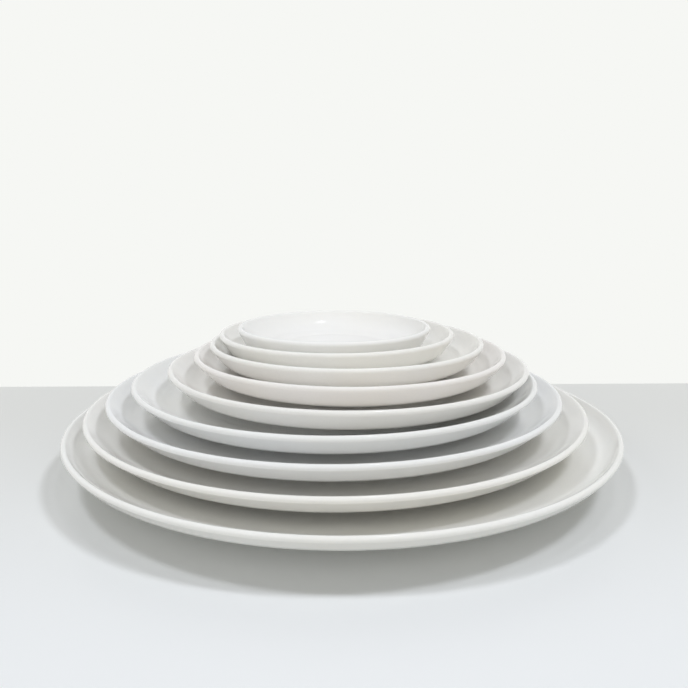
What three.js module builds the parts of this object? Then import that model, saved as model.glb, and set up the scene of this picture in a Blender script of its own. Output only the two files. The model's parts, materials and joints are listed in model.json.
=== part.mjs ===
// A nested set of nine round coupe plates in white melamine, from a serving platter down to a sauce dish.
// Each plate is one compression moulding: a flat floor, a shallow slope out to a knee, a straight lip that
// leans out to a rounded edge, and a foot ring underneath. It rests by that ring on the floor of the plate
// below, a little off centre.
// Millimetres, +Z up, with the origin on the table at the centre of the platter's foot ring.
import * as THREE from "three";

// The smallest plate, the sauce dish: its rim, its height, how far its foot ring is set in from the rim,
// the height of that ring, and the thickness of its base.
const SMALLEST_DIAMETER = 108.5;
const SMALLEST_HEIGHT = 15.6;
const SMALLEST_FOOT_INSET = 18.5;
const SMALLEST_FOOT_HEIGHT = 2.2;
const SMALLEST_BASE = 2.2;

// What each of these gains from one plate to the next larger one.
const HEIGHT_GAIN = 1.05;
const FOOT_INSET_GAIN = 3.8;
const FOOT_HEIGHT_GAIN = 0.45;
const BASE_GAIN = 0.25;

// How far each plate's rim lies inside the rim of the plate below it.
const LARGE_DINNER_RIM_STEP = 14.75;
const DINNER_RIM_STEP = 13;
const LUNCH_RIM_STEP = 13.75;
const SALAD_RIM_STEP = 11.75;
const DESSERT_RIM_STEP = 12.5;
const BREAD_RIM_STEP = 10.25;
const SAUCER_RIM_STEP = 11;
const SAUCE_DISH_RIM_STEP = 12.75;

// How far each plate has slipped off the centre of the plate below it, to the right and to the back.
const LARGE_DINNER_SLIP_RIGHT = -3.4;
const LARGE_DINNER_SLIP_BACK = -1.1;
const DINNER_SLIP_RIGHT = -1;
const DINNER_SLIP_BACK = -1.4;
const LUNCH_SLIP_RIGHT = 0.2;
const LUNCH_SLIP_BACK = -1.8;
const SALAD_SLIP_RIGHT = 7.4;
const SALAD_SLIP_BACK = 0.7;
const DESSERT_SLIP_RIGHT = 1.1;
const DESSERT_SLIP_BACK = 3.1;
const BREAD_SLIP_RIGHT = -1.8;
const BREAD_SLIP_BACK = 1.5;
const SAUCER_SLIP_RIGHT = -5.7;
const SAUCER_SLIP_BACK = 0.4;
const SAUCE_DISH_SLIP_RIGHT = -1.5;
const SAUCE_DISH_SLIP_BACK = -6.3;

// Across the rounded edge of every plate, which is also the thickness of its lip.
const RIM_THICKNESS = 3;

// The platter's lip: its lean in degrees up from level, and its drop from the rounded edge to the knee.
const PLATTER_LIP_LEAN = 52;
const PLATTER_LIP_DROP = 6.3;

// The lips of the plates above: their lean, what it gains with the square of the number of plates below, and
// how far they drop.
const LIP_LEAN = 40;
const LIP_LEAN_GAIN = 0.35;
const LIP_DROP = 9.5;

// How far the rounding of every knee reaches along either side.
const KNEE_REACH = 4;

// Foot ring: the flat that stands on the surface below, and how far each side leans in towards that flat.
const FOOT_FLAT = 3.5;
const FOOT_DRAFT = 1;

// Clearances: under a foot ring that rests on a floor, and the flat floor left around that ring.
const SEAT_GAP = 0.1;
const FLOOR_MARGIN = 1;

// Facets: how far a straight side may cut inside the true circle, and the steps round a knee.
const FACET_SAG = 0.35;
const KNEE_STEPS = 4;

// Moulded gloss.
const MELAMINE_ROUGHNESS = 0.22;

const QUARTER_TURN = Math.PI / 2;

// The set from the table up. The platter stands on the table, so it has no step and no slip.
const PLATES = [
  { name: "serving_platter", rimStep: 0, slip: [0, 0], colour: 0xf8f8f5 },
  {
    name: "large_dinner_plate",
    rimStep: LARGE_DINNER_RIM_STEP,
    slip: [LARGE_DINNER_SLIP_RIGHT, LARGE_DINNER_SLIP_BACK],
    colour: 0xf9f8f4,
  },
  {
    name: "dinner_plate",
    rimStep: DINNER_RIM_STEP,
    slip: [DINNER_SLIP_RIGHT, DINNER_SLIP_BACK],
    colour: 0xf6f7f7,
  },
  {
    name: "lunch_plate",
    rimStep: LUNCH_RIM_STEP,
    slip: [LUNCH_SLIP_RIGHT, LUNCH_SLIP_BACK],
    colour: 0xf6f7f6,
  },
  {
    name: "salad_plate",
    rimStep: SALAD_RIM_STEP,
    slip: [SALAD_SLIP_RIGHT, SALAD_SLIP_BACK],
    colour: 0xf7f6f3,
  },
  {
    name: "dessert_plate",
    rimStep: DESSERT_RIM_STEP,
    slip: [DESSERT_SLIP_RIGHT, DESSERT_SLIP_BACK],
    colour: 0xf9f6f3,
  },
  {
    name: "bread_plate",
    rimStep: BREAD_RIM_STEP,
    slip: [BREAD_SLIP_RIGHT, BREAD_SLIP_BACK],
    colour: 0xf9f8f4,
  },
  {
    name: "saucer",
    rimStep: SAUCER_RIM_STEP,
    slip: [SAUCER_SLIP_RIGHT, SAUCER_SLIP_BACK],
    colour: 0xfaf9f5,
  },
  {
    name: "sauce_dish",
    rimStep: SAUCE_DISH_RIM_STEP,
    slip: [SAUCE_DISH_SLIP_RIGHT, SAUCE_DISH_SLIP_BACK],
    colour: 0xfafaf8,
  },
];

// Number of plates in the set that are smaller than this one.
function platesInside(index) {
  return PLATES.length - 1 - index;
}

// Radius of a plate's rim, stepped out from the smallest plate by every rim that lies inside it.
function rimRadius(index) {
  const smaller = PLATES.slice(index + 1);
  return smaller.reduce((radius, plate) => radius + plate.rimStep, SMALLEST_DIAMETER / 2);
}

// Radius at which a plate's foot ring joins the slope.
function footRadius(index) {
  return rimRadius(index) - SMALLEST_FOOT_INSET - FOOT_INSET_GAIN * platesInside(index);
}

// Height of a plate's foot ring.
function footHeight(index) {
  return SMALLEST_FOOT_HEIGHT + FOOT_HEIGHT_GAIN * platesInside(index);
}

// Height of a plate's floor above the surface that its foot ring stands on.
function floorHeight(index) {
  const base = SMALLEST_BASE + BASE_GAIN * platesInside(index);
  return footHeight(index) + base;
}

// Radius of a plate's flat floor: room for the foot ring of the plate above, as far as that one has slipped.
// The top plate carries nothing, so its floor ends inside its own foot ring.
function floorRadius(index) {
  const above = PLATES[index + 1];
  if (!above) return footRadius(index) - 2 * FOOT_DRAFT - FOOT_FLAT;
  return footRadius(index + 1) + Math.hypot(...above.slip) + FLOOR_MARGIN;
}

// Lean of a plate's lip up from level, in radians: above the platter, the smaller the plate, the steeper.
function lipLean(index) {
  const lean = index === 0 ? PLATTER_LIP_LEAN : LIP_LEAN + LIP_LEAN_GAIN * index ** 2;
  return THREE.MathUtils.degToRad(lean);
}

// How far a plate's lip drops from the rounded edge to the knee.
function lipDrop(index) {
  return index === 0 ? PLATTER_LIP_DROP : LIP_DROP;
}

// The outer corner of the knee in the half section, below the place where the lip meets the rounded edge.
function kneeCorner(lipEnd, lean, drop) {
  return new THREE.Vector2(lipEnd.x - drop / Math.tan(lean), lipEnd.y - drop);
}

// The inner corner of the knee: one lip's thickness in from the outer one, square to slope and lip.
function innerKneeCorner(corner, slope, lean) {
  const inFromSlope = new THREE.Vector2(-Math.sin(slope), Math.cos(slope));
  const inFromLip = new THREE.Vector2(-Math.sin(lean), Math.cos(lean));
  const share = RIM_THICKNESS / (1 + Math.cos(lean - slope));
  return inFromSlope.add(inFromLip).multiplyScalar(share).add(corner);
}

// The rounded knee in the half section, between the stretches that come from one point and go to another.
function kneeRound(from, corner, to) {
  const start = from.clone().sub(corner).setLength(KNEE_REACH).add(corner);
  const end = to.clone().sub(corner).setLength(KNEE_REACH).add(corner);
  return new THREE.QuadraticBezierCurve(start, corner, end).getPoints(KNEE_STEPS);
}

// The rounded edge in the half section, from the outside of the lip round its widest and its highest point to
// the inside of the lip.
function rimRound(centreRadius, centreHeight, radius, lean) {
  const angles = [lean - QUARTER_TURN, 0, QUARTER_TURN / 2, QUARTER_TURN, lean + QUARTER_TURN];
  return angles.map((angle) => {
    const out = radius * Math.cos(angle);
    const up = radius * Math.sin(angle);
    return new THREE.Vector2(centreRadius + out, centreHeight + up);
  });
}

// Half section of a plate: out along its underside, up the lip, over the edge and back along the floor.
function plateProfile(index) {
  const rim = rimRadius(index);
  const foot = footRadius(index);
  const footTop = footHeight(index);
  const floor = floorRadius(index);
  const floorTop = floorHeight(index);
  const edge = RIM_THICKNESS / 2;
  const edgeHeight = SMALLEST_HEIGHT + HEIGHT_GAIN * platesInside(index) - edge;
  const ringOuter = foot - FOOT_DRAFT;
  const ringInner = ringOuter - FOOT_FLAT;
  const lean = lipLean(index);
  const edgeRound = rimRound(rim - edge, edgeHeight, edge, lean);
  const ringTop = new THREE.Vector2(foot, footTop);
  const floorEdge = new THREE.Vector2(floor, floorTop);
  const outerCorner = kneeCorner(edgeRound.at(0), lean, lipDrop(index));
  const slope = outerCorner.clone().sub(ringTop).angle();
  const innerCorner = innerKneeCorner(outerCorner, slope, lean);
  return [
    new THREE.Vector2(0, footTop),
    new THREE.Vector2(ringInner - FOOT_DRAFT, footTop),
    new THREE.Vector2(ringInner, 0),
    new THREE.Vector2(ringOuter, 0),
    ringTop,
    ...kneeRound(ringTop, outerCorner, edgeRound.at(0)),
    ...edgeRound,
    ...kneeRound(edgeRound.at(-1), innerCorner, floorEdge),
    floorEdge,
    new THREE.Vector2(0, floorTop),
  ];
}

// Sides round a circle, in fours so that the plate is as wide as its circle along X and along Y.
function sidesFor(radius) {
  const sides = Math.PI / Math.acos(1 - FACET_SAG / radius);
  return 4 * Math.ceil(sides / 4);
}

// A plate standing on its foot ring, with its axis along Z.
function plateGeometry(index) {
  const geometry = new THREE.LatheGeometry(plateProfile(index), sidesFor(rimRadius(index)));
  return geometry.rotateX(QUARTER_TURN);
}

// Glossy white melamine; each moulding batch has a slight tint of its own.
function melamine(colour) {
  return new THREE.MeshStandardMaterial({ color: colour, roughness: MELAMINE_ROUGHNESS, metalness: 0 });
}

// Each plate's group hangs on the group of the plate below, so a plate carries all that is stacked on it.
const nestedSet = new THREE.Group();
let carrier = nestedSet;
let seat = 0;
PLATES.forEach((plate, index) => {
  const mesh = new THREE.Mesh(plateGeometry(index), melamine(plate.colour));
  mesh.name = plate.name;
  const [slipRight, slipBack] = plate.slip;
  const place = new THREE.Group();
  place.position.set(slipRight, slipBack, seat);
  place.add(mesh);
  carrier.add(place);
  carrier = place;
  seat = floorHeight(index) + SEAT_GAP;
});

export default nestedSet;
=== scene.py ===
import json
import math
from types import SimpleNamespace

import bpy
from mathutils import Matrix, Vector


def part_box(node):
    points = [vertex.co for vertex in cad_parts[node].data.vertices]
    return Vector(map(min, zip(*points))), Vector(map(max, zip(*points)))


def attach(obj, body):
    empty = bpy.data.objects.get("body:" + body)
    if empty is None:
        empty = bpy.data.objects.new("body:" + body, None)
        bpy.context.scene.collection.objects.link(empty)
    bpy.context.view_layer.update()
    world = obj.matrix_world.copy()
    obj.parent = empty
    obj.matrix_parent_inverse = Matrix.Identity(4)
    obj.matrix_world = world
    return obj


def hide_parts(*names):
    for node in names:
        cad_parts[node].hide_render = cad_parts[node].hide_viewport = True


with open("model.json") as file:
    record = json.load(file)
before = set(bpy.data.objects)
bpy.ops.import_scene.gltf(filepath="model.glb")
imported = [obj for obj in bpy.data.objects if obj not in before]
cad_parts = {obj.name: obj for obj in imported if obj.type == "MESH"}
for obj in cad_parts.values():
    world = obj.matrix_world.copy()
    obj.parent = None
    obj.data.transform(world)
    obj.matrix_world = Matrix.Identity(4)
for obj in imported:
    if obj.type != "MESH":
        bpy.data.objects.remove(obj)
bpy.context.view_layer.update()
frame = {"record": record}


# Serving platter.
# The largest plate and the base of the nest: one compression moulding of white melamine resin, with a flat
# floor, a shallow slope out to a knee, a straight lip up to a rounded edge, and a foot ring on the table.
STACK = (
    "serving_platter",
    "large_dinner_plate",
    "dinner_plate",
    "lunch_plate",
    "salad_plate",
    "dessert_plate",
    "bread_plate",
    "saucer",
    "sauce_dish",
)
MM = 0.001
SMALLEST_FOOT_INSET = 18.5 * MM
SMALLEST_FOOT_HEIGHT = 2.2 * MM
SMALLEST_BASE = 2.2 * MM
FOOT_INSET_GAIN = 3.8 * MM
FOOT_HEIGHT_GAIN = 0.45 * MM
BASE_GAIN = 0.25 * MM
RIM_THICKNESS = 3.0 * MM
PLATTER_LIP_LEAN = math.radians(52.0)
PLATTER_LIP_DROP = 6.3 * MM
LIP_LEAN = math.radians(40.0)
LIP_LEAN_GAIN = math.radians(0.35)
LIP_DROP = 9.5 * MM
KNEE_REACH = 4.0 * MM
INNER_KNEE_SHARE = 0.9
FOOT_FLAT = 3.5 * MM
FOOT_DRAFT = 1.0 * MM
FLOOR_MARGIN = 1.0 * MM
FLOOR_BLEND = 2.0 * MM


def plate_sizes(name):
    """A plate's sizes: its rim from the frame, its foot ring, base and lip from the set's graduation."""
    low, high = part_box(name)
    below = STACK.index(name)
    inside = len(STACK) - 1 - below
    rim_radius = (high.x - low.x) / 2
    foot_height = SMALLEST_FOOT_HEIGHT + FOOT_HEIGHT_GAIN * inside
    return SimpleNamespace(
        centre=Vector(((low.x + high.x) / 2, (low.y + high.y) / 2, low.z)),
        height=high.z - low.z,
        rim_radius=rim_radius,
        foot_radius=rim_radius - SMALLEST_FOOT_INSET - FOOT_INSET_GAIN * inside,
        foot_height=foot_height,
        floor_height=foot_height + SMALLEST_BASE + BASE_GAIN * inside,
        lip_lean=LIP_LEAN + LIP_LEAN_GAIN * below ** 2 if below else PLATTER_LIP_LEAN,
        lip_drop=LIP_DROP if below else PLATTER_LIP_DROP,
    )


def plate_above(name):
    """The sizes of the plate that stands in this one, or nothing for the top dish."""
    place = STACK.index(name) + 1
    return plate_sizes(STACK[place]) if place < len(STACK) else None


def floor_radius_of(name):
    """Radius of a plate's flat floor, which leaves room around the foot ring that rests on it."""
    sizes = plate_sizes(name)
    above = plate_above(name)
    if above is None:
        return sizes.foot_radius - 2 * FOOT_DRAFT - FOOT_FLAT
    slip = (above.centre - sizes.centre).xy.length
    return above.foot_radius + slip + FLOOR_MARGIN


def add_node(tree, kind, feeds=None, **settings):
    """A new node with these settings, whose inputs are fed from other nodes or given plain values."""
    made = tree.nodes.new(kind)
    for setting, value in settings.items():
        setattr(made, setting, value)
    for socket, feed in (feeds or {}).items():
        if isinstance(feed, bpy.types.NodeSocket):
            tree.links.new(feed, made.inputs[socket])
        else:
            made.inputs[socket].default_value = feed
    return made


def calculate(tree, operation, first, second=0.0):
    """The result of one sum in a node tree."""
    return add_node(tree, "ShaderNodeMath", {0: first, 1: second}, operation=operation).outputs[0]


def new_tree(name, inputs):
    """An empty geometry tree with these named inputs, and the node that carries them."""
    tree = bpy.data.node_groups.new(name, "GeometryNodeTree")
    for label, kind in inputs:
        tree.interface.new_socket(name=label, in_out="INPUT", socket_type=kind)
    tree.interface.new_socket(name="Geometry", in_out="OUTPUT", socket_type="NodeSocketGeometry")
    return tree, tree.nodes.new("NodeGroupInput").outputs


def turned_tree(name, inputs, section):
    """A surface turned once around Z from a half section, which gives the radius and height along it."""
    tree, given = new_tree(name, inputs + (("Steps", "NodeSocketInt"), ("Sides", "NodeSocketInt")))
    columns = calculate(tree, "ADD", given["Steps"], 1.0)
    rows = calculate(tree, "ADD", given["Sides"], 1.0)
    grid_sizes = {"Size X": 1.0, "Size Y": 1.0, "Vertices X": columns, "Vertices Y": rows}
    grid = add_node(tree, "GeometryNodeMeshGrid", grid_sizes)
    position = add_node(tree, "GeometryNodeInputPosition").outputs[0]
    places = add_node(tree, "ShaderNodeSeparateXYZ", {0: position}).outputs
    along = calculate(tree, "ADD", places["X"], 0.5)
    around = calculate(tree, "ADD", places["Y"], 0.5)
    radius, height = section(tree, given, along)
    turn = calculate(tree, "MULTIPLY", around, math.tau)
    point = {
        "X": calculate(tree, "MULTIPLY", radius, calculate(tree, "COSINE", turn)),
        "Y": calculate(tree, "MULTIPLY", radius, calculate(tree, "SINE", turn)),
        "Z": height,
    }
    turned_point = add_node(tree, "ShaderNodeCombineXYZ", point).outputs[0]
    turning = {"Geometry": grid.outputs["Mesh"], "Position": turned_point}
    turned = add_node(tree, "GeometryNodeSetPosition", turning)
    add_node(tree, "NodeGroupOutput", {0: turned.outputs[0]})
    return tree


def arc_section(tree, given, along):
    """Radius and height along an arc of an ellipse, from its start angle to its end angle."""
    sweep = calculate(tree, "SUBTRACT", given["End"], given["Start"])
    angle = calculate(tree, "ADD", given["Start"], calculate(tree, "MULTIPLY", sweep, along))
    out = calculate(tree, "MULTIPLY", given["Across"], calculate(tree, "COSINE", angle))
    rise = calculate(tree, "MULTIPLY", given["Up"], calculate(tree, "SINE", angle))
    radius = calculate(tree, "ADD", given["Centre Radius"], out)
    return radius, calculate(tree, "ADD", given["Centre Height"], rise)


def straight_section(tree, given, along):
    """Radius and height along a straight stretch, from its start to its end."""
    ways = []
    for way in ("Radius", "Height"):
        start = given["Start " + way]
        run = calculate(tree, "SUBTRACT", given["End " + way], start)
        ways.append(calculate(tree, "ADD", start, calculate(tree, "MULTIPLY", run, along)))
    return ways


def bend_section(tree, given, along):
    """Radius and height round a bend, which starts and ends heading for and away from its corner."""
    left = calculate(tree, "SUBTRACT", 1.0, along)
    start_share = calculate(tree, "MULTIPLY", left, left)
    corner_share = calculate(tree, "MULTIPLY", calculate(tree, "MULTIPLY", left, along), 2.0)
    end_share = calculate(tree, "MULTIPLY", along, along)
    ways = []
    for way in ("Radius", "Height"):
        from_start = calculate(tree, "MULTIPLY", given["Start " + way], start_share)
        from_corner = calculate(tree, "MULTIPLY", given["Corner " + way], corner_share)
        from_end = calculate(tree, "MULTIPLY", given["End " + way], end_share)
        ways.append(calculate(tree, "ADD", calculate(tree, "ADD", from_start, from_corner), from_end))
    return ways


ARC_TREE = turned_tree(
    "turned_arc",
    (
        ("Centre Radius", "NodeSocketFloat"),
        ("Centre Height", "NodeSocketFloat"),
        ("Across", "NodeSocketFloat"),
        ("Up", "NodeSocketFloat"),
        ("Start", "NodeSocketFloat"),
        ("End", "NodeSocketFloat"),
    ),
    arc_section,
)
STRAIGHT_TREE = turned_tree(
    "turned_straight",
    (
        ("Start Radius", "NodeSocketFloat"),
        ("Start Height", "NodeSocketFloat"),
        ("End Radius", "NodeSocketFloat"),
        ("End Height", "NodeSocketFloat"),
    ),
    straight_section,
)
BEND_TREE = turned_tree(
    "turned_bend",
    (
        ("Start Radius", "NodeSocketFloat"),
        ("Start Height", "NodeSocketFloat"),
        ("Corner Radius", "NodeSocketFloat"),
        ("Corner Height", "NodeSocketFloat"),
        ("End Radius", "NodeSocketFloat"),
        ("End Height", "NodeSocketFloat"),
    ),
    bend_section,
)
SEAM_REACH = 0.002 * MM
QUARTER_TURN = math.pi / 2


def turned_part(tree, turned, feeds):
    """One stretch of a plate, with its inputs fed in their order."""
    part = add_node(tree, "GeometryNodeGroup", node_tree=turned)
    for socket, feed in zip(part.inputs, feeds, strict=True):
        if isinstance(feed, bpy.types.NodeSocket):
            tree.links.new(feed, socket)
        else:
            socket.default_value = feed
    return part.outputs[0]


def moved(tree, point, distance, angle):
    """A point in the half section, moved by a distance in the direction of an angle above level."""
    out = calculate(tree, "MULTIPLY", distance, calculate(tree, "COSINE", angle))
    rise = calculate(tree, "MULTIPLY", distance, calculate(tree, "SINE", angle))
    return calculate(tree, "ADD", point[0], out), calculate(tree, "ADD", point[1], rise)


def slope_between(tree, low_point, high_point):
    """The angle above level from one point in the half section to another."""
    out = calculate(tree, "SUBTRACT", high_point[0], low_point[0])
    rise = calculate(tree, "SUBTRACT", high_point[1], low_point[1])
    return calculate(tree, "ARCTAN2", rise, out)


def inner_corner_of(tree, corner, thickness, slope, lean):
    """The inner corner of a knee, one thickness in from the outer one, square to slope and lip."""
    turn = calculate(tree, "COSINE", calculate(tree, "SUBTRACT", lean, slope))
    share = calculate(tree, "DIVIDE", thickness, calculate(tree, "ADD", turn, 1.0))
    in_from_slope = moved(tree, corner, share, calculate(tree, "ADD", slope, QUARTER_TURN))
    return moved(tree, in_from_slope, share, calculate(tree, "ADD", lean, QUARTER_TURN))


def coupe_plate_tree():
    """A whole plate in stretches: underside, foot ring, slope, knee, lip, edge, and back to the floor."""
    tree, given = new_tree(
        "coupe_plate",
        (
            ("Rim Radius", "NodeSocketFloat"),
            ("Height", "NodeSocketFloat"),
            ("Rim Thickness", "NodeSocketFloat"),
            ("Lip Lean", "NodeSocketFloat"),
            ("Lip Drop", "NodeSocketFloat"),
            ("Knee Reach", "NodeSocketFloat"),
            ("Inner Knee Reach", "NodeSocketFloat"),
            ("Foot Radius", "NodeSocketFloat"),
            ("Foot Height", "NodeSocketFloat"),
            ("Foot Flat", "NodeSocketFloat"),
            ("Foot Draft", "NodeSocketFloat"),
            ("Floor Radius", "NodeSocketFloat"),
            ("Floor Height", "NodeSocketFloat"),
            ("Floor Blend", "NodeSocketFloat"),
            ("Centre", "NodeSocketVector"),
            ("Sides", "NodeSocketInt"),
            ("Straight Steps", "NodeSocketInt"),
            ("Knee Steps", "NodeSocketInt"),
            ("Rim Steps", "NodeSocketInt"),
            ("Floor Steps", "NodeSocketInt"),
            ("Fillet Steps", "NodeSocketInt"),
            ("Melamine", "NodeSocketMaterial"),
        ),
    )
    lean = given["Lip Lean"]
    drop = given["Lip Drop"]
    reach = given["Knee Reach"]
    inner_reach = given["Inner Knee Reach"]
    foot = given["Foot Radius"]
    foot_top = given["Foot Height"]
    foot_flat = given["Foot Flat"]
    floor = given["Floor Radius"]
    floor_top = given["Floor Height"]
    sides = given["Sides"]
    floor_steps = given["Floor Steps"]
    fillet_steps = given["Fillet Steps"]
    edge = calculate(tree, "MULTIPLY", given["Rim Thickness"], 0.5)
    edge_height = calculate(tree, "SUBTRACT", given["Height"], edge)
    edge_centre = calculate(tree, "SUBTRACT", given["Rim Radius"], edge)
    edge_start = calculate(tree, "SUBTRACT", lean, QUARTER_TURN)
    edge_end = calculate(tree, "ADD", lean, QUARTER_TURN)
    lip_end = moved(tree, (edge_centre, edge_height), edge, edge_start)
    inner_lip_end = moved(tree, (edge_centre, edge_height), edge, edge_end)
    lip_run = calculate(tree, "DIVIDE", drop, calculate(tree, "TANGENT", lean))
    corner = (
        calculate(tree, "SUBTRACT", lip_end[0], lip_run),
        calculate(tree, "SUBTRACT", lip_end[1], drop),
    )
    slope = slope_between(tree, (foot, foot_top), corner)
    inner_corner = inner_corner_of(tree, corner, given["Rim Thickness"], slope, lean)
    inner_slope = slope_between(tree, (floor, floor_top), inner_corner)
    knee_start = moved(tree, corner, calculate(tree, "MULTIPLY", reach, -1.0), slope)
    knee_end = moved(tree, corner, reach, lean)
    inner_knee_start = moved(tree, inner_corner, inner_reach, lean)
    inner_back = calculate(tree, "MULTIPLY", inner_reach, -1.0)
    inner_knee_end = moved(tree, inner_corner, inner_back, inner_slope)
    blend_start = moved(tree, (floor, floor_top), given["Floor Blend"], inner_slope)
    flat_floor = calculate(tree, "SUBTRACT", floor, given["Floor Blend"])
    ring_outer = calculate(tree, "SUBTRACT", foot, given["Foot Draft"])
    ring_inner = calculate(tree, "SUBTRACT", ring_outer, foot_flat)
    ring_root = calculate(tree, "SUBTRACT", ring_inner, given["Foot Draft"])
    fillet = calculate(tree, "MULTIPLY", given["Foot Draft"], 0.5)
    fillet_up = calculate(tree, "MULTIPLY", foot_top, 0.5)
    level, top, side = 0.0, QUARTER_TURN, 2 * QUARTER_TURN
    arcs = (
        (0.0, foot_top, ring_root, 0.0, top, level, floor_steps, sides),
        (ring_root, fillet_up, fillet, fillet_up, top, level, fillet_steps, sides),
        (ring_inner, fillet_up, fillet, fillet_up, side, side + top, fillet_steps, sides),
        (ring_inner, 0.0, foot_flat, 0.0, top, level, fillet_steps, sides),
        (ring_outer, fillet_up, fillet, fillet_up, -top, level, fillet_steps, sides),
        (foot, fillet_up, fillet, fillet_up, side, top, fillet_steps, sides),
        (edge_centre, edge_height, edge, edge, edge_start, edge_end, given["Rim Steps"], sides),
        (0.0, floor_top, flat_floor, 0.0, level, top, floor_steps, sides),
    )
    straights = (
        (foot, foot_top, *knee_start),
        (*knee_end, *lip_end),
        (*inner_lip_end, *inner_knee_start),
        (*inner_knee_end, *blend_start),
    )
    bends = (
        (*knee_start, *corner, *knee_end),
        (*inner_knee_start, *inner_corner, *inner_knee_end),
        (*blend_start, floor, floor_top, flat_floor, floor_top),
    )
    turned = [turned_part(tree, ARC_TREE, arc) for arc in arcs]
    for ends in straights:
        turned.append(turned_part(tree, STRAIGHT_TREE, (*ends, given["Straight Steps"], sides)))
    for points in bends:
        turned.append(turned_part(tree, BEND_TREE, (*points, given["Knee Steps"], sides)))
    stretches = add_node(tree, "GeometryNodeJoinGeometry")
    for stretch in turned:
        tree.links.new(stretch, stretches.inputs[0])
    turned_out = add_node(tree, "GeometryNodeFlipFaces", {0: stretches.outputs[0]})
    closing = {"Geometry": turned_out.outputs[0], "Distance": SEAM_REACH}
    closed = add_node(tree, "GeometryNodeMergeByDistance", closing)
    placing = {"Geometry": closed.outputs[0], "Offset": given["Centre"]}
    placed = add_node(tree, "GeometryNodeSetPosition", placing)
    smooth = add_node(tree, "GeometryNodeSetShadeSmooth", {"Geometry": placed.outputs[0]})
    real = add_node(tree, "GeometryNodeRealizeInstances", {0: smooth.outputs[0]})
    finishing = {"Geometry": real.outputs[0], "Material": given["Melamine"]}
    finished = add_node(tree, "GeometryNodeSetMaterial", finishing)
    add_node(tree, "NodeGroupOutput", {0: finished.outputs[0]})
    return tree


PLATE_TREE = coupe_plate_tree()
PLATE_SIDES = 192
STRAIGHT_STEPS = 6
KNEE_STEPS = 12
RIM_STEPS = 14
FLOOR_STEPS = 20
FILLET_STEPS = 5


def turned_plate(name, finish):
    """A plate as a plain mesh, turned by the tree from its sizes, on its body and in place of its solid."""
    sizes = plate_sizes(name)
    settings = {
        "Rim Radius": sizes.rim_radius,
        "Height": sizes.height,
        "Rim Thickness": RIM_THICKNESS,
        "Lip Lean": sizes.lip_lean,
        "Lip Drop": sizes.lip_drop,
        "Knee Reach": KNEE_REACH,
        "Inner Knee Reach": INNER_KNEE_SHARE * sizes.lip_drop,
        "Foot Radius": sizes.foot_radius,
        "Foot Height": sizes.foot_height,
        "Foot Flat": FOOT_FLAT,
        "Foot Draft": FOOT_DRAFT,
        "Floor Radius": floor_radius_of(name),
        "Floor Height": sizes.floor_height,
        "Floor Blend": FLOOR_BLEND,
        "Centre": list(sizes.centre),
        "Sides": PLATE_SIDES,
        "Straight Steps": STRAIGHT_STEPS,
        "Knee Steps": KNEE_STEPS,
        "Rim Steps": RIM_STEPS,
        "Floor Steps": FLOOR_STEPS,
        "Fillet Steps": FILLET_STEPS,
        "Melamine": finish,
    }
    blank = bpy.data.objects.new("blank", bpy.data.meshes.new("blank"))
    bpy.context.scene.collection.objects.link(blank)
    turning = blank.modifiers.new("turning", "NODES")
    turning.node_group = PLATE_TREE
    for socket in PLATE_TREE.interface.items_tree:
        if socket.in_out == "INPUT":
            turning[socket.identifier] = settings[socket.name]
    graph = bpy.context.evaluated_depsgraph_get()
    mesh = bpy.data.meshes.new_from_object(blank.evaluated_get(graph))
    bpy.data.objects.remove(blank)
    moulding = bpy.data.objects.new(name + "_moulding", mesh)
    bpy.context.scene.collection.objects.link(moulding)
    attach(moulding, name)
    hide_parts(name)
    return moulding


def ramp(tree, value, start, end):
    """A smooth rise from 0 at the start value to 1 at the end value."""
    feeds = {"Value": value, "From Min": start, "From Max": end}
    return add_node(tree, "ShaderNodeMapRange", feeds, interpolation_type="SMOOTHSTEP").outputs[0]


BAND_CORE = 0.4


def band(tree, value, middle, half_width):
    """A soft band: 1 in a core around the middle value, down to 0 at half a width to either side."""
    away = calculate(tree, "ABSOLUTE", calculate(tree, "SUBTRACT", value, middle))
    return ramp(tree, away, half_width, half_width * BAND_CORE)


def grain(tree, place, scale, detail=0.0):
    """Fine random variation around one half, so many to the metre."""
    feeds = {"Vector": place, "Scale": scale, "Detail": detail}
    return add_node(tree, "ShaderNodeTexNoise", feeds).outputs[0]


def tinted(tree, amount, first, second):
    """One colour going over to another by an amount."""
    mix = add_node(tree, "ShaderNodeMix", {0: amount, 6: first, 7: second}, data_type="RGBA")
    return mix.outputs[2]


KNIFE_ANGLES = (0.35, 1.45, 2.5)
KNIFE_MARK_SCALE = (26.0, 1500.0, 1.0)
KNIFE_MARK_START = 0.70
KNIFE_MARK_END = 0.76


def knife_marks(tree, flat_place):
    """Hair-fine cuts in three directions, as knives leave them on a plate's floor."""
    marks = 0.0
    for angle in KNIFE_ANGLES:
        turned = add_node(
            tree,
            "ShaderNodeMapping",
            {"Vector": flat_place, "Rotation": (0.0, 0.0, angle)},
        )
        stretched = add_node(
            tree,
            "ShaderNodeVectorMath",
            {0: turned.outputs[0], 1: KNIFE_MARK_SCALE},
            operation="MULTIPLY",
        )
        streaks = grain(tree, stretched.outputs[0], 1.0)
        cuts = ramp(tree, streaks, KNIFE_MARK_START, KNIFE_MARK_END)
        marks = calculate(tree, "MAXIMUM", marks, cuts)
    return marks


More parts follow.
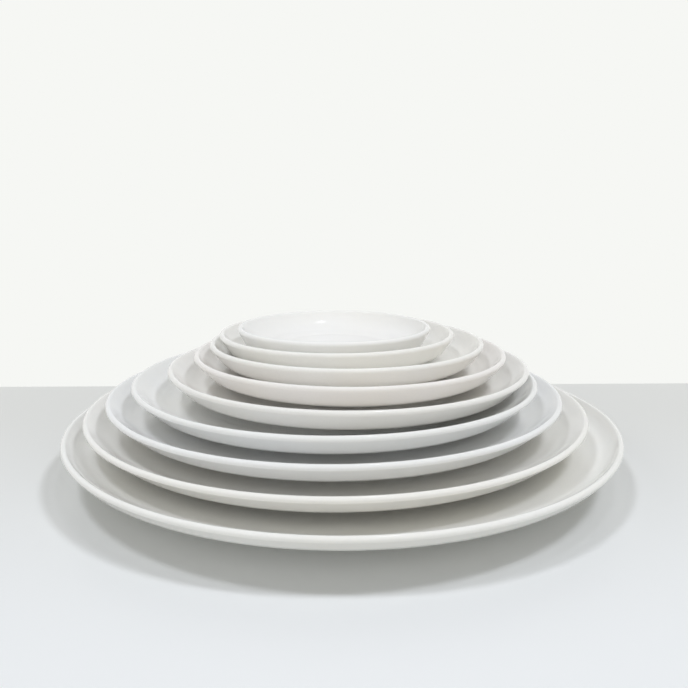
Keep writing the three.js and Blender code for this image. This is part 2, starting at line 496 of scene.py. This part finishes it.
MELAMINE_IOR = 1.58
GLOSS = 0.10
GLOSS_SPREAD = 0.03
PULP_SCALE = 900.0
PULP_DETAIL = 2.0
PULP_START = 0.35
PULP_END = 0.65
PULP_SHARE = 0.5
PULP_SHADE = 0.97
CLOUD_SCALE = 22.0
CLOUD_DETAIL = 2.0
CLOUD_START = 0.3
CLOUD_END = 0.7
CLOUD_TINT = (0.992, 0.985, 0.965)
PEEL_SCALE = 170.0
PEEL_DETAIL = 1.0
PEEL_DEPTH = 0.02 * MM
FOOT_WEAR_START = 0.7 * MM
FOOT_WEAR_FULL = 0.1 * MM
FOOT_WEAR_LEAST = 0.5
FOOT_GREY = (0.60, 0.59, 0.56, 1.0)
FOOT_DULLING = 0.32
SCUFF_SCALE = 90.0
SCUFF_DETAIL = 4.0
SCUFF_START = 0.42
SCUFF_END = 0.62
SCUFF_SHADE = 0.90
SCUFF_DULLING = 0.22
FLOOR_HALF_BAND = 0.8 * MM
CUT_DULLING = 0.08
CUT_DEPTH = 0.08
CUT_SHADE = 0.93
EDGE_WEAR_DEPTH = 0.5 * MM
EDGE_DULLING = 0.05
PARTING_HALF_WIDTH = 0.45 * MM
PARTING_START = 0.6 * MM
PARTING_FULL = 0.1 * MM


def shaded(tint, share):
    """A tint with each of its parts scaled."""
    shares = share if isinstance(share, tuple) else (share, share, share)
    return tuple(part * scale for part, scale in zip(tint, shares)) + (1.0,)


def melamine(name, slot, cuts):
    """Gloss white resin: fine pulp in the colour, a little peel in the skin, dull where it is worn."""
    sizes = plate_sizes(name)
    above = plate_above(name)
    tint = next(row["base_color"] for row in frame["record"]["materials"] if row["slot"] == slot)
    material = bpy.data.materials.new(slot + "_finish")
    material.use_nodes = True
    tree = material.node_tree
    shader = tree.nodes["Principled BSDF"]
    shader.inputs["IOR"].default_value = MELAMINE_IOR
    world_place = add_node(tree, "ShaderNodeTexCoord").outputs["Object"]
    centring = {"Vector": world_place, "Location": -sizes.centre}
    place = add_node(tree, "ShaderNodeMapping", centring).outputs[0]
    parts = add_node(tree, "ShaderNodeSeparateXYZ", {0: place}).outputs
    flat_place = add_node(tree, "ShaderNodeCombineXYZ", {"X": parts["X"], "Y": parts["Y"]}).outputs[0]
    height = parts["Z"]

    scuffing = ramp(tree, grain(tree, place, SCUFF_SCALE, SCUFF_DETAIL), SCUFF_START, SCUFF_END)
    on_floor = band(tree, height, sizes.floor_height, FLOOR_HALF_BAND)
    cut_marks = calculate(tree, "MULTIPLY", knife_marks(tree, flat_place), on_floor)
    cut_marks = calculate(tree, "MULTIPLY", cut_marks, cuts)
    on_foot = ramp(tree, height, FOOT_WEAR_START, FOOT_WEAR_FULL)
    rubbing = calculate(tree, "MULTIPLY", scuffing, 1.0 - FOOT_WEAR_LEAST)
    rubbing = calculate(tree, "ADD", rubbing, FOOT_WEAR_LEAST)
    foot_wear = calculate(tree, "MULTIPLY", on_foot, rubbing)
    edge_height = sizes.height - RIM_THICKNESS / 2
    parting = band(tree, height, edge_height, PARTING_HALF_WIDTH)
    outer = ramp(
        tree,
        add_node(tree, "ShaderNodeVectorMath", {0: flat_place}, operation="LENGTH").outputs["Value"],
        sizes.rim_radius - PARTING_START,
        sizes.rim_radius - PARTING_FULL,
    )
    parting = calculate(tree, "MULTIPLY", parting, outer)
    on_edge = ramp(tree, height, sizes.height - EDGE_WEAR_DEPTH, sizes.height)
    edge_wear = calculate(tree, "MULTIPLY", calculate(tree, "MAXIMUM", on_edge, parting), scuffing)
    seat_wear = 0.0
    if above is not None:
        slip = above.centre - sizes.centre
        from_seat = add_node(
            tree,
            "ShaderNodeVectorMath",
            {0: flat_place, 1: (slip.x, slip.y, 0.0)},
            operation="DISTANCE",
        ).outputs["Value"]
        ring_middle = above.foot_radius - FOOT_DRAFT - FOOT_FLAT / 2
        on_seat = calculate(tree, "MULTIPLY", band(tree, from_seat, ring_middle, FOOT_FLAT), on_floor)
        seat_wear = calculate(tree, "MULTIPLY", on_seat, scuffing)

    pulp = ramp(tree, grain(tree, place, PULP_SCALE, PULP_DETAIL), PULP_START, PULP_END)
    clouds = ramp(tree, grain(tree, place, CLOUD_SCALE, CLOUD_DETAIL), CLOUD_START, CLOUD_END)
    colour = tinted(tree, clouds, shaded(tint, 1.0), shaded(tint, CLOUD_TINT))
    pale_pulp = calculate(tree, "MULTIPLY", pulp, PULP_SHARE)
    colour = tinted(tree, pale_pulp, colour, shaded(tint, PULP_SHADE))
    colour = tinted(tree, cut_marks, colour, shaded(tint, CUT_SHADE))
    colour = tinted(tree, seat_wear, colour, shaded(tint, SCUFF_SHADE))
    colour = tinted(tree, foot_wear, colour, FOOT_GREY)
    tree.links.new(colour, shader.inputs["Base Color"])

    spread = calculate(tree, "MULTIPLY", clouds, GLOSS_SPREAD)
    roughness = calculate(tree, "ADD", spread, GLOSS)
    dulled = (
        (cut_marks, CUT_DULLING),
        (seat_wear, SCUFF_DULLING),
        (edge_wear, EDGE_DULLING),
        (foot_wear, FOOT_DULLING),
    )
    for wear, dulling in dulled:
        loss = calculate(tree, "MULTIPLY", wear, dulling)
        roughness = calculate(tree, "ADD", roughness, loss)
    tree.links.new(roughness, shader.inputs["Roughness"])

    peel = grain(tree, place, PEEL_SCALE, PEEL_DETAIL)
    skin = calculate(tree, "SUBTRACT", peel, calculate(tree, "MULTIPLY", cut_marks, CUT_DEPTH))
    bump = add_node(tree, "ShaderNodeBump", {"Height": skin, "Distance": PEEL_DEPTH})
    tree.links.new(bump.outputs[0], shader.inputs["Normal"])
    return material


PLATTER_CUTS = 0.7
platter = turned_plate("serving_platter", melamine("serving_platter", "melamine_platter", PLATTER_CUTS))


# Dinner plates.
# The large dinner plate, the dinner plate and the lunch plate, each one moulding of white to cool white
# melamine; they are eaten from with knives, and each stands by its foot ring on the floor of the one below.
DINNER_PLATES = (
    ("large_dinner_plate", "melamine_large_dinner", 1.0),
    ("dinner_plate", "melamine_dinner", 1.0),
    ("lunch_plate", "melamine_lunch", 0.9),
)
for plate_name, slot, cuts in DINNER_PLATES:
    plate = turned_plate(plate_name, melamine(plate_name, slot, cuts))


# Side plates.
# The salad, dessert and bread plates, mouldings of white to faintly warm melamine that are cut on less;
# they stand in the lunch plate and in each other, a little off centre.
SIDE_PLATES = (
    ("salad_plate", "melamine_salad", 0.6),
    ("dessert_plate", "melamine_dessert", 0.4),
    ("bread_plate", "melamine_bread", 0.5),
)
for plate_name, slot, cuts in SIDE_PLATES:
    plate = turned_plate(plate_name, melamine(plate_name, slot, cuts))


# Saucer and sauce dish.
# The two smallest mouldings, in faintly cream and in bright white melamine, hardly ever cut on; the dish
# lies loose on top of the nest, pushed towards the front of the saucer.
SMALL_DISHES = (
    ("saucer", "melamine_saucer", 0.15),
    ("sauce_dish", "melamine_sauce_dish", 0.1),
)
for plate_name, slot, cuts in SMALL_DISHES:
    plate = turned_plate(plate_name, melamine(plate_name, slot, cuts))


# Table.
# A pale, slightly glossy table top that ends just behind the platter, paler at the front and painted greyer
# towards the back as painted shade, with a white floor beyond it that goes over into the white of the
# background; it throws a greyer light on the plates.
FRONT_TONE = (0.945, 0.965, 0.973, 1.0)
# The greyer back tone is painted shade on the table top.
SHADED_BACK_TONE = (0.745, 0.75, 0.722, 1.0)
BEYOND_TONE = (0.93, 0.94, 0.91, 1.0)
BOUNCE_TONE = (0.71, 0.72, 0.71, 1.0)
BACKGROUND = (0.922, 0.930, 0.904, 1.0)
PALE_FRONT = -0.26
PALE_BACK = 0.10
TABLE_EDGE = 0.1485
TABLE_EDGE_YAW = 0.02
TABLE_EDGE_SOFTNESS = 0.001
TABLE_DROP = 0.1 * MM
TABLE_REACH = 4.0
TABLE_ROUGHNESS = 0.35
BEYOND_FADE_START = 0.16
BEYOND_FADE_END = 0.24
FADE_START = 0.45
FADE_END = 0.9


def seen_directly(tree):
    """1 for what is seen straight, in a reflection or through glass, and 0 for light on the object."""
    rays = add_node(tree, "ShaderNodeLightPath").outputs
    seen = calculate(tree, "MAXIMUM", rays["Is Camera Ray"], rays["Is Glossy Ray"])
    return calculate(tree, "MAXIMUM", seen, rays["Is Transmission Ray"])


corners = [(-TABLE_REACH, -TABLE_REACH, -TABLE_DROP), (TABLE_REACH, -TABLE_REACH, -TABLE_DROP)]
corners += [(TABLE_REACH, TABLE_REACH, -TABLE_DROP), (-TABLE_REACH, TABLE_REACH, -TABLE_DROP)]
table_mesh = bpy.data.meshes.new("table")
table_mesh.from_pydata(corners, [], [(0, 1, 2, 3)])
table = bpy.data.objects.new("table", table_mesh)
bpy.context.scene.collection.objects.link(table)

table_top = bpy.data.materials.new("table_top")
table_top.use_nodes = True
tree = table_top.node_tree
top_shader = tree.nodes["Principled BSDF"]
top_shader.inputs["Roughness"].default_value = TABLE_ROUGHNESS
table_place = add_node(tree, "ShaderNodeTexCoord").outputs["Object"]
table_parts = add_node(tree, "ShaderNodeSeparateXYZ", {0: table_place}).outputs
yaw = calculate(tree, "MULTIPLY", table_parts["X"], TABLE_EDGE_YAW)
depth = calculate(tree, "SUBTRACT", table_parts["Y"], yaw)
beyond = ramp(tree, depth, TABLE_EDGE - TABLE_EDGE_SOFTNESS, TABLE_EDGE + TABLE_EDGE_SOFTNESS)
# Painted shade: the table top goes over from its pale front tone to a greyer tone towards the back.
painted_back_shade = ramp(tree, depth, PALE_FRONT, PALE_BACK)
table_colour = tinted(tree, painted_back_shade, FRONT_TONE, SHADED_BACK_TONE)
seen = seen_directly(tree)
shown_colour = tinted(tree, beyond, table_colour, BEYOND_TONE)
tree.links.new(tinted(tree, seen, BOUNCE_TONE, shown_colour), top_shader.inputs["Base Color"])
distance = add_node(tree, "ShaderNodeVectorMath", {0: table_place}, operation="LENGTH").outputs["Value"]
far_away = ramp(tree, distance, FADE_START, FADE_END)
clear_of_plates = ramp(tree, distance, BEYOND_FADE_START, BEYOND_FADE_END)
far_beyond = calculate(tree, "MULTIPLY", beyond, clear_of_plates)
white_share = calculate(tree, "MAXIMUM", far_away, far_beyond)
fade = calculate(tree, "MULTIPLY", white_share, seen)
white = add_node(tree, "ShaderNodeEmission", {"Color": BACKGROUND})
faded = add_node(
    tree,
    "ShaderNodeMixShader",
    {0: fade, 1: top_shader.outputs[0], 2: white.outputs[0]},
)
tree.links.new(faded.outputs[0], tree.nodes["Material Output"].inputs["Surface"])
table.data.materials.append(table_top)


# Studio light and camera.
# A white tent whose walls glow softly, with a low card at the front, a small softbox overhead for the glint
# and a wide one to either side for the shadows; the camera looks down on the nest a little from the front.
TENT = 0.03
TENT_TINT = (1.0, 0.99, 0.96, 1.0)
# Each panel: the way it faces, where its glow starts and is full on that way, its height, half of how tall
# it is, and its glow.
TENT_PANELS = (
    ("Y", -0.3, -0.8, 0.48, 0.35, 0.92),
    ("Y", -0.3, -0.8, 0.0, 0.30, 1.25),
    ("X", -0.4, -0.8, 0.5, 0.35, 0.85),
    ("X", 0.4, 0.8, 0.5, 0.35, 0.55),
    ("Y", 0.3, 0.8, 0.65, 0.35, 0.55),
)
LAMP_DISTANCE = 5.0
LAMP_TINT = (0.91, 0.935, 1.0)
# Each softbox: its name, its lean to the right from overhead, how far it stands to the front, its width,
# its power, and whether it glints in the glaze.
LAMPS = (
    ("top_softbox", math.radians(9.0), 0.0, 0.4, 12.0, True),
    ("left_softbox", math.radians(-20.0), 0.4, 0.9, 61.0, False),
    ("right_softbox", math.radians(28.0), 0.4, 0.9, 76.0, False),
)
CAMERA_PLACE = (0.00094, -0.3700, 0.1389)
CAMERA_DIP = math.radians(11.39)
CAMERA_LENS = 34.01

world = bpy.data.worlds.new("studio")
world.use_nodes = True
bpy.context.scene.world = world
sky = world.node_tree
tent = sky.nodes["Background"]
tent.inputs["Color"].default_value = TENT_TINT
sky_way = add_node(sky, "ShaderNodeTexCoord").outputs["Generated"]
sky_parts = add_node(sky, "ShaderNodeSeparateXYZ", {0: sky_way}).outputs
tent_light = TENT
for axis, panel_start, panel_end, panel_height, half_height, glow in TENT_PANELS:
    facing = ramp(sky, sky_parts[axis], panel_start, panel_end)
    level = band(sky, sky_parts["Z"], panel_height, half_height)
    panel = calculate(sky, "MULTIPLY", calculate(sky, "MULTIPLY", facing, level), glow)
    tent_light = calculate(sky, "ADD", tent_light, panel)
sky.links.new(tent_light, tent.inputs["Strength"])
backdrop = add_node(sky, "ShaderNodeBackground", {"Color": BACKGROUND, "Strength": 1.0})
shown = add_node(
    sky,
    "ShaderNodeMixShader",
    {0: seen_directly(sky), 1: tent.outputs[0], 2: backdrop.outputs[0]},
)
sky.links.new(shown.outputs[0], sky.nodes["World Output"].inputs["Surface"])

for lamp_name, lean, forward, width, watts, glints in LAMPS:
    lamp = bpy.data.lights.new(lamp_name, "AREA")
    lamp.shape = "DISK"
    lamp.size = width
    lamp.energy = watts
    lamp.color = LAMP_TINT
    softbox = bpy.data.objects.new(lamp_name, lamp)
    softbox.location = (LAMP_DISTANCE * math.sin(lean), -forward, LAMP_DISTANCE * math.cos(lean))
    softbox.rotation_euler = (0.0, lean, 0.0)
    softbox.visible_glossy = glints
    bpy.context.scene.collection.objects.link(softbox)

camera_data = bpy.data.cameras.new("camera")
camera_data.lens = CAMERA_LENS
camera = bpy.data.objects.new("camera", camera_data)
camera.location = CAMERA_PLACE
camera.rotation_euler = (math.pi / 2 - CAMERA_DIP, 0.0, 0.0)
bpy.context.scene.collection.objects.link(camera)
bpy.context.scene.camera = camera
bpy.context.scene.view_settings.view_transform = "Standard"
